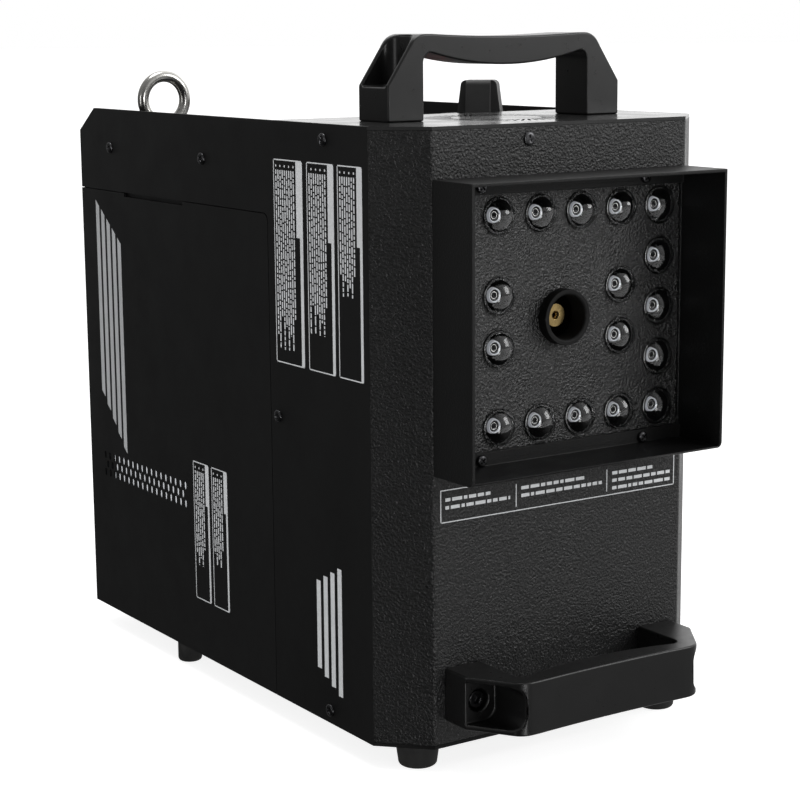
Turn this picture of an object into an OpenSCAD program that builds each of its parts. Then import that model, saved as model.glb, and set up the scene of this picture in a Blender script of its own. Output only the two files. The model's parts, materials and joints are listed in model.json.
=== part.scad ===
// Fog machine with a lamp array round its nozzle, built up from separate sheet panels,
// heater, pump, tank, lamps, fan, sockets and controls. Millimetres, +Z up.
// Origin: centre of the footprint, on the surface that the feet stand on.
// The nozzle side faces -Y. Inside place(), Y is 0 on the front face and
// Z is 0 on the underside of the case.

/* [Case] */
// Width over the side panels
case_w = 236; // [232:1:240]
// Height of the case without feet and handle
case_h = 360; // [356:1:366]
// Length from front face to rear face
case_l = 404; // [400:1:412]
// Chamfer on the two front corners
corner_c = 26; // [24:1:28]
// Sheet thickness of the panels
sheet_t = 2; // [1.5:0.5:2]
// Length of the raised front part of the top
plate_l = 132.5; // [131:0.5:136]
// Depth of the control deck below the top plate
deck_drop = 19; // [17:1:21]
// Start of the rear side covers, measured from the front face
split_y = 138.5; // [136:0.5:142]
// Top of the rear side covers
split_z = 304; // [300:1:306]

/* [Lamps] */
// Spacing of the lamp columns
lamp_dx = 29.7; // [29:0.1:30]
// Spacing of the lamp rows
lamp_dz = 30.65; // [30:0.05:31]
// Diameter of a lens flange
lens_d = 23; // [20:0.5:24]
// Height of the nozzle and of the middle lamp row
nozzle_z = 246.8; // [245:0.1:249]
// Depth of the light hood
hood_d = 38; // [30:1:45]

/* [Handles] */
// Overall length of a handle
grip_l = 170; // [164:1:174]
// Thickness of a handle
grip_t = 32; // [28:0.5:34]
// Height of a handle
grip_h = 50; // [47:1:52]

/* [Tank cap] */
// Cap position across the deck
cap_x = 60.5; // [58:0.5:62]
// Cap position behind the front face
cap_y = 167; // [165:1:175]
// Width of the grip at its foot
cap_grip_w = 28.6; // [26:0.2:34]

/* [Feet] */
// Height of the feet under the case
foot_h = 14; // [10:1:16]
// Height of the feet on the rear face
back_foot_h = 10; // [8:1:12]

/* [Hidden] */
$fn = 64;

half_w = case_w / 2;
inner_w = half_w - sheet_t;
front_y = grip_h - (case_l + back_foot_h + grip_h) / 2;
deck_z = case_h - deck_drop;
deck_under = deck_z - sheet_t;
bend_k = tan(22.5);
root2 = sqrt(2);
rear_cut_y = 24;
rear_cut_z = 16;
seam = 0.6;

hood_w = case_w - 2 * corner_c;
hood_z0 = nozzle_z - 84;
hood_h = 168;
hood_lip = 8;
hood_lip_t = 1.5;
window_x = hood_w / 2 - 2.5;
led_t = 1.5;
led_y = sheet_t;
board_y = 12.5;
emitter_h = 1;
lens_r = lens_d / 2;
lens_hole_r = 9.2;
collar_r = 16.5;
collar_bore_r = 13;
collar_sleeve_r = 14.6;
well_r = 18;
nozzle_tip_r = 6.8;

heater_y0 = 30;
heater_y1 = 190;
heater_r = 32;
jacket_t = 8;
shelf_z = 190;
tank_x0 = -113;
tank_x1 = 84;
tank_y0 = 148;
tank_y1 = 390;
tank_z0 = 60;
tank_z1 = 150;
tank_wall = 2.5;
neck_r = 18;
neck_bore_r = 14;
neck_top = deck_z + 11;
gasket_t = 2;
cap_r = 27;
cap_grip_h = 22;

fan_x = 0;
fan_y = 66;
fan_w = 92;
fan_t = 25;
fan_z0 = case_h - sheet_t - fan_t;
duct_r = 44;
shaft_r = 1.5;
fan_hole_x = 41.25;
guard_n = 54;
guard_mid_r = 35.5;

eye_x = -92;
eye_y = 323;
eye_z = 366.5;
eye_ring_r = 15.7;
eye_wire_r = 3.85;
eye_shank_r = 4;

screw_r = 1.5;
screw_hole_r = 1.65;
side_screws = [[355.7, 333.6], [221.6, 332.7], [73.1, 350.9], [129.9, 180.6], [73.7, 8.3]];
top_screw = [-25, 351];
hood_screw_x = 60;
rear_screw_x = 106;
rear_screw_z = [22, 174, 326];

grip_y = 70.6;
grip_z = 32.5;
grip_bolt_x = 75;
grip_block_h = 20;
grip_shoulder_h = grip_block_h + 0.7;
grip_slant_w = 20;
grip_corner_r = 12;
grip_wall = 3.2;
grip_window_x = 60;
grip_window_h = 39.5;
grip_window_r = 6;
grip_under_r = 204;
grip_under_h = grip_h - 18.3;
grip_dip_r = 900;
grip_dip = 1.6;
pocket_x = 63;
pocket_r = 8;
bolt_seat_h = 12;
bolt_r = 3;

fascia_x = -32;
fascia_y = 250;
button_r = 5;
button_gap = 0.4;
button_dx = 17;
button_y = 230;
rocker_x = 62;
rocker_y = 232;
inlet_x = 62;
inlet_y = 282;
fuse_x = 62;
fuse_y = 325;
dmx_y = 330;
dmx_in_x = -44;
dmx_out_x = 6;
xlr_r = 9.4;

// Case frame: front face at Y 0, underside at Z 0
module place() translate([0, front_y, foot_h]) children();

// Solid whose YZ outline is extruded along +X from x0
module along_x(x0, len) translate([x0, 0, 0]) rotate([90, 0, 90]) linear_extrude(len) children();

// Cylinder lying along +Y
module rod_y(x, y, z, r, len) translate([x, y, z]) rotate([-90, 0, 0]) cylinder(r = r, h = len);

// Cylinder lying along +X
module rod_x(x, y, z, r, len) translate([x, y, z]) rotate([0, 90, 0]) cylinder(r = r, h = len);

module box(x0, x1, y0, y1, z0, z1) translate([x0, y0, z0]) cube([x1 - x0, y1 - y0, z1 - z0]);

// Rectangle with round corners, centred
module round_rect(w, h, r) {
    square([w - 2 * r, h], center = true);
    square([w, h - 2 * r], center = true);
    for (sx = [-1, 1], sy = [-1, 1])
        translate([sx * (w / 2 - r), sy * (h / 2 - r)]) circle(r);
}

// Upright slot with round ends, in two dimensions
module slot2d(w, h) {
    square([w, h - w], center = true);
    for (s = [-1, 1]) translate([0, s * (h - w) / 2]) circle(w / 2, $fn = 24);
}

// Cross recess of a screw head, cut downwards from z = 0
module cross_recess(size, depth) {
    for (a = [0, 90])
        rotate([0, 0, a]) translate([-size / 2, -size / 8, -depth]) cube([size, size / 4, depth + 1]);
}

// Pan-head screw seated on z = 0 with its shank pointing down
module pan_screw(head_r = 3.4, head_h = 1.8, shank = 7) {
    difference() {
        rotate_extrude() polygon([
            [0, -shank], [screw_r, -shank], [screw_r, 0], [head_r, 0],
            [head_r, head_h * 0.45], [head_r * 0.72, head_h], [0, head_h]
        ]);
        translate([0, 0, head_h]) cross_recess(head_r * 1.25, head_h * 0.6);
    }
}

// ---------------------------------------------------------------- case panels

// Bent strip that makes the front face and the two chamfers
module front_plan() polygon([
    [-half_w, corner_c],
    [-half_w + corner_c, 0],
    [half_w - corner_c, 0],
    [half_w, corner_c],
    [half_w - root2 * sheet_t, corner_c],
    [half_w - corner_c - bend_k * sheet_t, sheet_t],
    [-half_w + corner_c + bend_k * sheet_t, sheet_t],
    [-half_w + root2 * sheet_t, corner_c]
]);

module hood_screw_places() {
    for (sx = [-1, 1], z = [hood_z0 + 5.5, hood_z0 + hood_h - 5.5])
        translate([sx * hood_screw_x, 0, z]) rotate([90, 0, 0]) children();
}

module rear_screw_places() {
    for (sx = [-1, 1], z = rear_screw_z)
        translate([sx * rear_screw_x, case_l, z]) rotate([-90, 0, 0]) children();
}

module front_cover() color([0.16, 0.16, 0.17]) place() difference() {
    translate([0, 0, sheet_t]) linear_extrude(case_h - 2 * sheet_t) front_plan();
    box(-window_x, window_x, -1, sheet_t + 1, hood_z0 + 10, hood_z0 + hood_h - 10);
    hood_screw_places() translate([0, 0, -sheet_t - 1]) cylinder(r = screw_hole_r, h = sheet_t + 2);
    rod_y(top_screw[0], -1, top_screw[1], screw_hole_r, sheet_t + 2);
    for (sx = [-1, 1]) rod_y(sx * grip_bolt_x, -1, grip_z, bolt_r + 0.2, sheet_t + 2);
}

// L-shaped side outline with the opening for the rear cover
module side_outline() difference() {
    polygon([
        [corner_c, 0], [case_l, 0], [case_l, case_h - rear_cut_z],
        [case_l - rear_cut_y, case_h], [corner_c, case_h]
    ]);
    translate([split_y, -1]) square([case_l, split_z + 1 - 5]);
    translate([split_y + 5, -1]) square([case_l, split_z + 1]);
    translate([split_y + 5, split_z - 5]) circle(5);
}

// Strip behind the seam that the rear cover laps onto
module seam_strip() {
    translate([split_y - 8, sheet_t]) square([18, split_z + 6 - sheet_t]);
    translate([split_y - 8, split_z - 12]) square([case_l - sheet_t - split_y + 8, 20]);
}

module side_panel() {
    difference() {
        union() {
            along_x(-half_w, sheet_t) side_outline();
            along_x(-inner_w, 1.2) seam_strip();
        }
        for (p = side_screws) rod_x(-half_w - 1, p[0], p[1], screw_hole_r, 6);
    }
}

module left_side_panel() color([0.11, 0.11, 0.11]) place() side_panel();
module right_side_panel() color([0.11, 0.11, 0.11]) place() mirror([1, 0, 0]) side_panel();

vent_pitch = 7.22;
vent_w = 3.4;
vent_h = 5.6;
vent_row_dz = 6.2;
vent_y0 = 257.4;
vent_z0 = 100.6;
vent_n = 18;

module vent_field() {
    for (row = [0:2], i = [0:vent_n - 1 - row % 2])
        translate([vent_y0 + (i + (row % 2) / 2) * vent_pitch, vent_z0 + row * vent_row_dz])
            slot2d(vent_w, vent_h);
}

// Finger notch in the upper edge of the rear cover
notch_y0 = 250;
notch_y1 = 336;
notch_h = 2.4;

module rear_cover_outline() difference() {
    union() {
        translate([split_y + seam, 0]) square([case_l - split_y - seam, split_z - seam - 5]);
        translate([split_y + seam + 5, 0]) square([case_l - split_y - seam - 5, split_z - seam]);
        translate([split_y + seam + 5, split_z - seam - 5]) circle(5);
    }
    translate([notch_y0, split_z - seam - notch_h]) square([notch_y1 - notch_y0, notch_h + 1]);
    vent_field();
}

module rear_cover() along_x(-half_w, sheet_t) rear_cover_outline();
module left_rear_cover() color([0.11, 0.11, 0.11]) place() rear_cover();
module right_rear_cover() color([0.11, 0.11, 0.11]) place() mirror([1, 0, 0]) rear_cover();

// One slanted slot of the fan guard
module guard_slot() translate([guard_mid_r, 0]) rotate([0, 0, 60]) slot2d(1.6, 20);

module top_plate() color([0.2, 0.2, 0.2]) place() difference() {
    union() {
        translate([0, 0, case_h - sheet_t]) linear_extrude(sheet_t) difference() {
            polygon([
                [-inner_w, plate_l], [-inner_w, corner_c], [-half_w, corner_c],
                [-half_w + corner_c, 0], [half_w - corner_c, 0], [half_w, corner_c],
                [inner_w, corner_c], [inner_w, plate_l]
            ]);
            translate([fan_x, fan_y])
                for (i = [1:guard_n]) rotate([0, 0, i * 360 / guard_n]) guard_slot();
        }
        box(-inner_w, inner_w, plate_l - sheet_t, plate_l, deck_z, case_h - sheet_t);
    }
    for (sx = [-1, 1])
        translate([sx * grip_bolt_x, grip_y, case_h - sheet_t - 1])
            cylinder(r = bolt_r + 0.2, h = sheet_t + 2);
}

module control_deck() color([0.13, 0.13, 0.13]) place() difference() {
    box(-inner_w, inner_w, plate_l - sheet_t, case_l - sheet_t, deck_under, deck_z);
    translate([cap_x, cap_y, deck_under - 1]) cylinder(r = neck_r + 0.3, h = sheet_t + 2);
    translate([eye_x, eye_y, deck_under - 1]) cylinder(r = eye_shank_r + 0.2, h = sheet_t + 2);
    box(fascia_x - 29, fascia_x + 29, fascia_y + 2, fascia_y + 24, deck_under - 1, deck_z + 1);
    for (i = [0:3])
        translate([button_x(i), button_y, deck_under - 1])
            cylinder(r = button_r + button_gap, h = sheet_t + 2);
    box(rocker_x - 13.2, rocker_x + 13.2, rocker_y - 10.7, rocker_y + 10.7, deck_under - 1, deck_z + 1);
    box(inlet_x - 14.2, inlet_x + 14.2, inlet_y - 11.2, inlet_y + 11.2, deck_under - 1, deck_z + 1);
    translate([fuse_x, fuse_y, deck_under - 1]) cylinder(r = 6.7, h = sheet_t + 2);
    for (x = [dmx_in_x, dmx_out_x])
        translate([x, dmx_y, deck_under - 1]) cylinder(r = 11.9, h = sheet_t + 2);
}

module rear_panel() color([0.12, 0.12, 0.12]) place() difference() {
    box(-inner_w, inner_w, case_l - sheet_t, case_l, sheet_t, deck_z);
    rear_screw_places() translate([0, 0, -sheet_t - 1]) cylinder(r = screw_hole_r, h = sheet_t + 2);
}

module base_plate() color([0.12, 0.12, 0.12]) place() difference() {
    linear_extrude(sheet_t) polygon([
        [-inner_w, case_l], [-inner_w, corner_c], [-half_w, corner_c],
        [-half_w + corner_c, 0], [half_w - corner_c, 0], [half_w, corner_c],
        [inner_w, corner_c], [inner_w, case_l]
    ]);
    for (row = [0:3], i = [0:10])
        translate([-60 + i * 12, 175 + row * 14, -1]) linear_extrude(sheet_t + 2) slot2d(3.4, 9);
}

// ---------------------------------------------------------------- light head

// Outline of the hood seen from the side: square at the top, round below
module hood_side() difference() {
    translate([-hood_d, hood_z0]) square([hood_d, hood_h]);
    difference() {
        translate([-hood_d - 1, hood_z0 - 1]) square([6, 6]);
        translate([-hood_d + 5, hood_z0 + 5]) circle(5);
    }
}

module light_hood() color([0.14, 0.14, 0.15]) place() difference() {
    union() {
        difference() {
            along_x(-hood_w / 2, hood_w) hood_side();
            box(-hood_w / 2 + sheet_t, hood_w / 2 - sheet_t, -hood_d - 1, 1,
                hood_z0 + sheet_t, hood_z0 + hood_h - sheet_t);
        }
        for (z = [hood_z0 + sheet_t, hood_z0 + hood_h - sheet_t - hood_lip])
            box(-hood_w / 2 + sheet_t, hood_w / 2 - sheet_t, -hood_lip_t, 0, z, z + hood_lip);
    }
    hood_screw_places() translate([0, 0, -1]) cylinder(r = screw_hole_r, h = hood_lip_t + 2);
}

// Full top and bottom rows, outer columns, and two lamps beside the nozzle on each side
function lamp_places() = concat(
    [for (i = [0:5], j = [-2, 2]) [(i - 2.5) * lamp_dx, nozzle_z + j * lamp_dz]],
    [for (s = [-1, 1], j = [-1:1]) [s * 2.5 * lamp_dx, nozzle_z + j * lamp_dz]],
    [for (s = [-1, 1], j = [-0.5, 0.5]) [s * 1.5 * lamp_dx, nozzle_z + j * lamp_dz]]
);

module led_panel() color([0.13, 0.13, 0.14]) place() difference() {
    box(-hood_w / 2 + 1, hood_w / 2 - 1, led_y, led_y + led_t, hood_z0 + 1, hood_z0 + hood_h - 1);
    for (p = lamp_places()) rod_y(p[0], led_y - 1, p[1], lens_hole_r, led_t + 2);
    rod_y(0, led_y - 1, nozzle_z, collar_sleeve_r + 0.1, led_t + 2);
    hood_screw_places() translate([0, 0, -led_y - led_t - 1])
        cylinder(r = screw_hole_r, h = led_t + 2);
}

dome_h = 6.3;
dome_r = 10.6;
lens_back = board_y - emitter_h - led_y - 0.2;
dome_sphere_r = (dome_r * dome_r + dome_h * dome_h) / (2 * dome_h);

// Clear lens: flange on the panel, dome in front, cone reaching back to its emitter
module lens() {
    rotate_extrude() {
        polygon([
            [0, 0], [lens_r, 0], [lens_r, 1.2], [0, 1.2]
        ]);
        polygon([
            [0, -lens_back], [4, -lens_back], [lens_hole_r - 0.4, 0], [0, 0]
        ]);
        intersection() {
            translate([0, 1.2 + dome_h - dome_sphere_r]) circle(dome_sphere_r);
            translate([0, 1.2]) square([dome_r + 1, dome_h + 1]);
        }
    }
}

module led_lenses() color([0.85, 0.88, 0.9, 0.4]) place()
    for (p = lamp_places()) translate([p[0], led_y, p[1]]) rotate([90, 0, 0]) lens();

module led_emitters() color([0.95, 0.9, 0.6]) place()
    for (p = lamp_places())
        box(p[0] - 2.5, p[0] + 2.5, board_y - emitter_h, board_y, p[1] - 2.5, p[1] + 2.5);

module led_board() color([0.9, 0.92, 0.9]) place() difference() {
    box(-86, 86, board_y, board_y + 1.6, hood_z0 + 12, hood_z0 + hood_h - 12);
    rod_y(0, board_y - 1, nozzle_z, well_r, 4);
}

module led_heat_sink() color([0.75, 0.76, 0.78]) place() difference() {
    union() {
        box(-84, 84, board_y + 1.6, board_y + 5.6, hood_z0 + 14, hood_z0 + hood_h - 14);
        for (i = [0:20])
            box(-82 + i * 8.1, -80 + i * 8.1, board_y + 5.6, board_y + 17.6,
                hood_z0 + 16, hood_z0 + hood_h - 16);
    }
    box(-43, 43, board_y + 5.6, board_y + 18, nozzle_z - 43, nozzle_z + 43);
    rod_y(0, board_y, nozzle_z, well_r, 20);
}

module nozzle_collar() color([0.08, 0.08, 0.08]) place() difference() {
    union() {
        rod_y(0, led_y - 7, nozzle_z, collar_r, 7);
        rod_y(0, led_y, nozzle_z, collar_sleeve_r, 6);
    }
    rod_y(0, led_y - 8, nozzle_z, collar_bore_r, 20);
    translate([0, led_y - 7, nozzle_z]) rotate([-90, 0, 0])
        cylinder(r1 = collar_bore_r + 1, r2 = collar_bore_r, h = 1);
}

module brass_nozzle() color([0.78, 0.62, 0.3]) place() difference() {
    union() {
        rod_y(0, 7, nozzle_z, nozzle_tip_r, 16);
        translate([0, 22, nozzle_z]) rotate([-90, 0, 0]) cylinder(r = 9.5, h = 8, $fn = 6);
    }
    rod_y(0, 6, nozzle_z, 1.25, 26);
    translate([0, 7, nozzle_z]) rotate([-90, 0, 0]) cylinder(r1 = 2.6, r2 = 1.25, h = 1.6);
}

// ---------------------------------------------------------------- fog maker

module heater_block() color([0.7, 0.7, 0.72]) place() difference() {
    box(-heater_r, heater_r, heater_y0, heater_y1, nozzle_z - heater_r, nozzle_z + heater_r);
    for (sx = [-1, 1], i = [0:3])
        box(sx * heater_r - 3, sx * heater_r + 3, heater_y0 - 1, heater_y1 + 1,
            nozzle_z - 25 + i * 14, nozzle_z - 19 + i * 14);
    rod_y(0, heater_y0 - 1, nozzle_z, 2.5, heater_y1 - heater_y0 + 2);
}

module heater_jacket() color([0.82, 0.8, 0.72]) place() difference() {
    box(-heater_r - jacket_t, heater_r + jacket_t, heater_y0 + 4, heater_y1 - 4,
        nozzle_z - heater_r - jacket_t, nozzle_z + heater_r + jacket_t);
    box(-heater_r, heater_r, heater_y0, heater_y1, nozzle_z - heater_r, nozzle_z + heater_r);
}

jacket_under = nozzle_z - heater_r - jacket_t;

// Two bent brackets that stand the heater off the shelf
module heater_brackets() color([0.6, 0.6, 0.62]) place()
    for (y = [heater_y0 + 20, heater_y1 - 44]) {
        box(-36, 36, y, y + 24, jacket_under - 1.5, jacket_under);
        for (sx = [-1, 1]) {
            box(sx * 35 - 1, sx * 35 + 1, y, y + 24, shelf_z + sheet_t, jacket_under - 1.5);
            box(sx * 29 - 5, sx * 29 + 5, y, y + 24, shelf_z + sheet_t, shelf_z + sheet_t + 1.5);
        }
    }

module thermostat() color([0.85, 0.82, 0.75]) place() {
    rod_y(18, heater_y1, nozzle_z + 16, 8, 5);
    for (sx = [-1, 1]) box(18 + sx * 4 - 1.2, 18 + sx * 4 + 1.2, heater_y1 + 5, heater_y1 + 13,
        nozzle_z + 15.6, nozzle_z + 16.4);
}

hose_x = -60;
hose_y = 205;
pump_x = -72;
pump_z = 216;

module inner_shelf() color([0.5, 0.5, 0.52]) place() difference() {
    union() {
        box(-inner_w + 2, inner_w - 2, 34, 240, shelf_z, shelf_z + sheet_t);
        for (sx = [-1, 1])
            box(sx * (inner_w - 3) - 1, sx * (inner_w - 3) + 1, 34, 240, shelf_z - 14, shelf_z);
    }
    translate([cap_x, cap_y, shelf_z - 1]) cylinder(r = neck_r + 1, h = 4);
    translate([hose_x, hose_y, shelf_z - 1]) cylinder(r = 6, h = 4);
    rod_x(-half_w, side_screws[3][0], side_screws[3][1], screw_hole_r, case_w);
}

module pump() color([0.25, 0.27, 0.3]) place() {
    rod_y(pump_x, 100, pump_z, 18, 70);
    rod_y(pump_x, 92, pump_z, 6, 8);
    rod_y(pump_x, 170, pump_z, 6, 8);
    box(pump_x - 12, pump_x + 12, 112, 158, pump_z + 14, pump_z + 22);
}

module pump_clamp() color([0.62, 0.63, 0.65]) place() difference() {
    union() {
        rod_y(pump_x, 126, pump_z, 20, 18);
        box(pump_x - 24, pump_x + 24, 126, 144, shelf_z + sheet_t, shelf_z + sheet_t + 3);
        box(pump_x - 8, pump_x + 8, 126, 144, shelf_z + sheet_t, pump_z - 16);
    }
    rod_y(pump_x, 125, pump_z, 18, 20);
    box(pump_x - 12, pump_x + 12, 125, 145, pump_z + 14, pump_z + 22);
}

// Quarter bend of a round tube: enters along -X at the origin, leaves along +Z
module bend(r, tube_r) rotate([90, 0, 0]) rotate_extrude(angle = 90) translate([r, 0]) circle(tube_r);

// Soft hose from the tank outlet up through the shelf to the back of the pump
module suction_hose() color([0.85, 0.87, 0.85]) place() {
    translate([hose_x, hose_y, tank_z1 + 6]) cylinder(r = 4, h = pump_z - 12 - tank_z1 - 6);
    translate([hose_x - 12, hose_y, pump_z - 12]) bend(12, 4);
    translate([pump_x, hose_y - 12, pump_z]) rotate([0, 90, 0]) rotate([0, 0, 90])
        rotate_extrude(angle = 90) translate([12, 0]) circle(4);
    rod_y(pump_x, 178, pump_z, 4, hose_y - 12 - 178);
}

pipe_x = pump_x + 27;
pipe_y0 = 88;
pipe_y1 = 212;

// Copper pipe from the front of the pump back to the inlet at the rear of the heater
module feed_pipe() color([0.72, 0.45, 0.3]) place() {
    for (p = [[pump_x, pipe_y0, pump_z], [pipe_x, pipe_y0, pump_z], [pipe_x, pipe_y1, pump_z],
              [pipe_x, pipe_y1, nozzle_z], [0, pipe_y1, nozzle_z]])
        translate(p) sphere(2.5);
    rod_y(pump_x, pipe_y0, pump_z, 2.5, 4);
    rod_x(pump_x, pipe_y0, pump_z, 2.5, pipe_x - pump_x);
    rod_y(pipe_x, pipe_y0, pump_z, 2.5, pipe_y1 - pipe_y0);
    translate([pipe_x, pipe_y1, pump_z]) cylinder(r = 2.5, h = nozzle_z - pump_z);
    rod_x(pipe_x, pipe_y1, nozzle_z, 2.5, -pipe_x);
    rod_y(0, heater_y1, nozzle_z, 2.5, pipe_y1 - heater_y1);
    rod_y(0, heater_y1, nozzle_z, 6, 5);
}

module tank_block(d) {
    translate([(tank_x0 + tank_x1) / 2, (tank_y0 + tank_y1) / 2, tank_z0 + d])
        linear_extrude(tank_z1 - tank_z0 - 2 * d)
            round_rect(tank_x1 - tank_x0 - 2 * d, tank_y1 - tank_y0 - 2 * d, 12 - d);
}

module fluid_tank() color([0.92, 0.93, 0.93]) place() difference() {
    union() {
        tank_block(0);
        translate([hose_x, hose_y, tank_z1 - 1]) cylinder(r = 6, h = 7);
        for (x = [tank_x0 + 20, tank_x1 - 20], y = [tank_y0 + 20, tank_y1 - 20])
            translate([x, y, sheet_t]) cylinder(r = 8, h = tank_z0 - sheet_t + 1);
    }
    tank_block(tank_wall);
    translate([cap_x, cap_y, tank_z1 - tank_wall - 1]) cylinder(r = neck_bore_r, h = 10);
    translate([hose_x, hose_y, tank_z1 - tank_wall - 1]) cylinder(r = 2.5, h = 20);
}

module filler_neck() color([0.9, 0.91, 0.91]) place() difference() {
    translate([cap_x, cap_y, tank_z1]) {
        cylinder(r = neck_r, h = neck_top - tank_z1);
        cylinder(r = neck_r + 4, h = 3);
    }
    translate([cap_x, cap_y, tank_z1 - 1]) cylinder(r = neck_bore_r, h = neck_top - tank_z1 + 2);
}

module cap_gasket() color([0.15, 0.15, 0.15]) place() translate([cap_x, cap_y, neck_top]) difference() {
    cylinder(r = neck_r - 0.5, h = gasket_t);
    translate([0, 0, -1]) cylinder(r = neck_bore_r - 0.5, h = gasket_t + 2);
}

cap_arm_t = 16;
cap_arm_r = 3.4;
cap_shoulder_x = cap_grip_w / 2 - 2.4;

// One arm of the cross grip: wide at its foot, narrower at its round top
module cap_arm() rotate([90, 0, 0]) translate([0, 0, -cap_arm_t / 2]) linear_extrude(cap_arm_t) {
    polygon([
        [-cap_grip_w / 2, 0], [cap_grip_w / 2, 0], [cap_shoulder_x, cap_grip_h - cap_arm_r],
        [cap_shoulder_x - cap_arm_r, cap_grip_h], [-cap_shoulder_x + cap_arm_r, cap_grip_h],
        [-cap_shoulder_x, cap_grip_h - cap_arm_r]
    ]);
    for (s = [-1, 1])
        translate([s * (cap_shoulder_x - cap_arm_r), cap_grip_h - cap_arm_r]) circle(cap_arm_r, $fn = 32);
}

cap_foot = deck_z + 2;
cap_roof = neck_top + gasket_t + 0.3;

module tank_cap() color([0.14, 0.14, 0.15]) place() translate([cap_x, cap_y, 0]) difference() {
    union() {
        translate([0, 0, cap_foot]) cylinder(r = cap_r, h = cap_roof + 3 - cap_foot);
        translate([0, 0, cap_roof + 3]) for (a = [47, 137]) rotate([0, 0, a]) cap_arm();
    }
    translate([0, 0, cap_foot - 1]) cylinder(r = neck_r + 0.4, h = cap_roof - cap_foot + 1);
    for (a = [0:15:345])
        rotate([0, 0, a]) translate([cap_r + 1, 0, cap_foot - 1]) cylinder(r = 2, h = 30, $fn = 24);
}

// ---------------------------------------------------------------- handles, feet, fixings

grip_slant_a = atan2(grip_h - grip_shoulder_h, -grip_slant_w);
grip_turn_a = 180 - grip_slant_a;
grip_corner_n = 10;

// Points of the round upper corner, going from the slanted end to the flat top
function grip_corner() = let (
    cut = grip_corner_r * tan(grip_turn_a / 2),
    centre = [grip_l / 2 - grip_slant_w - cut, grip_h - grip_corner_r]
) [
    for (i = [0:grip_corner_n])
        let (a = grip_slant_a - 90 + grip_turn_a * i / grip_corner_n)
        centre + grip_corner_r * [cos(a), sin(a)]
];

// The same points on the other end, going from the flat top down to the slanted end
function grip_corner_back() = let (points = grip_corner())
    [for (i = [grip_corner_n:-1:0]) [-points[i][0], points[i][1]]];

// Outline of a handle: feet on z = 0, slanted ends and a shallow dip in the top
module grip_outline() difference() {
    polygon(concat(
        [[-grip_l / 2, 0], [grip_l / 2, 0], [grip_l / 2, grip_shoulder_h]],
        grip_corner(), grip_corner_back(), [[-grip_l / 2, grip_shoulder_h]]
    ));
    difference() {
        union() {
            translate([-grip_window_x, -1])
                square([2 * grip_window_x, grip_window_h - grip_window_r + 1]);
            translate([-grip_window_x + grip_window_r, -1])
                square([2 * (grip_window_x - grip_window_r), grip_window_h + 1]);
            for (s = [-1, 1])
                translate([s * (grip_window_x - grip_window_r), grip_window_h - grip_window_r])
                    circle(grip_window_r);
        }
        translate([0, grip_under_h + grip_under_r]) circle(grip_under_r, $fn = 180);
    }
    translate([0, grip_h - grip_dip + grip_dip_r]) circle(grip_dip_r, $fn = 180);
}

// Open end pocket with round inner corners, and the bolt's seat and hole in its floor
module grip_pocket() {
    half_t = grip_t / 2 - grip_wall;
    translate([pocket_x + pocket_r, -half_t, grip_block_h]) cube([40, 2 * half_t, 40]);
    translate([pocket_x, -half_t + pocket_r, grip_block_h])
        cube([pocket_r + 1, 2 * (half_t - pocket_r), 40]);
    for (t = [-1, 1])
        translate([pocket_x + pocket_r, t * (half_t - pocket_r), grip_block_h])
            cylinder(r = pocket_r, h = 40);
    translate([grip_bolt_x, 0, bolt_seat_h]) cylinder(r = 6.5, h = 20);
    translate([grip_bolt_x, 0, -1]) cylinder(r = bolt_r + 0.2, h = 20);
}

// Pull handle standing on z = 0, grip along X
module pull_handle() difference() {
    translate([0, grip_t / 2, 0]) rotate([90, 0, 0]) linear_extrude(grip_t) grip_outline();
    grip_pocket();
    mirror([1, 0, 0]) grip_pocket();
}

module top_handle() color([0.15, 0.15, 0.16]) place()
    translate([0, grip_y, case_h]) pull_handle();

module front_handle() color([0.15, 0.15, 0.16]) place()
    translate([0, 0, grip_z]) rotate([90, 0, 0]) pull_handle();

// Socket-head bolt seated on z = 0
module socket_bolt() difference() {
    union() {
        cylinder(r = 5, h = 6);
        translate([0, 0, -24]) cylinder(r = bolt_r, h = 25);
    }
    translate([0, 0, 2.5]) cylinder(r = 2.9, h = 5, $fn = 6);
}

module handle_screws() color([0.2, 0.2, 0.2]) place() for (s = [-1, 1]) {
    translate([s * grip_bolt_x, grip_y, case_h + bolt_seat_h]) socket_bolt();
    translate([s * grip_bolt_x, -bolt_seat_h, grip_z]) rotate([90, 0, 0]) socket_bolt();
}

module eye_bolt() color([0.75, 0.76, 0.77]) place() translate([eye_x, eye_y, 0]) {
    translate([0, 0, eye_z]) rotate([90, 0, 0]) rotate_extrude() translate([eye_ring_r, 0])
        circle(eye_wire_r, $fn = 48);
    translate([0, 0, deck_z]) cylinder(r = 10, h = 4.5);
    translate([0, 0, deck_z]) cylinder(r = 5.2, h = eye_z - eye_ring_r - deck_z + 1);
    translate([0, 0, deck_z - 18]) cylinder(r = eye_shank_r, h = 19);
}

module eye_bolt_nut() color([0.75, 0.76, 0.77]) place() translate([eye_x, eye_y, deck_under - 6.5])
    difference() {
        cylinder(r = 7.5, h = 6.5, $fn = 6);
        translate([0, 0, -1]) cylinder(r = eye_shank_r + 0.02, h = 9);
    }

front_foot_x = 91.5;
front_foot_y = 19;
rear_foot_x = 109;
rear_foot_y = 274;
back_foot_x = 88;

// Rubber foot hanging from z = 0 with a round edge below and a hollow for its screw
module rubber_foot(top_r, low_r, h, edge) difference() {
    rotate_extrude() {
        polygon([
            [0, 0], [top_r, 0], [low_r, edge - h], [low_r - edge, -h], [0, -h]
        ]);
        translate([low_r - edge, edge - h]) circle(edge, $fn = 32);
    }
    translate([0, 0, -h - 1]) cylinder(r = 3.5, h = h - 3);
}

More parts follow.
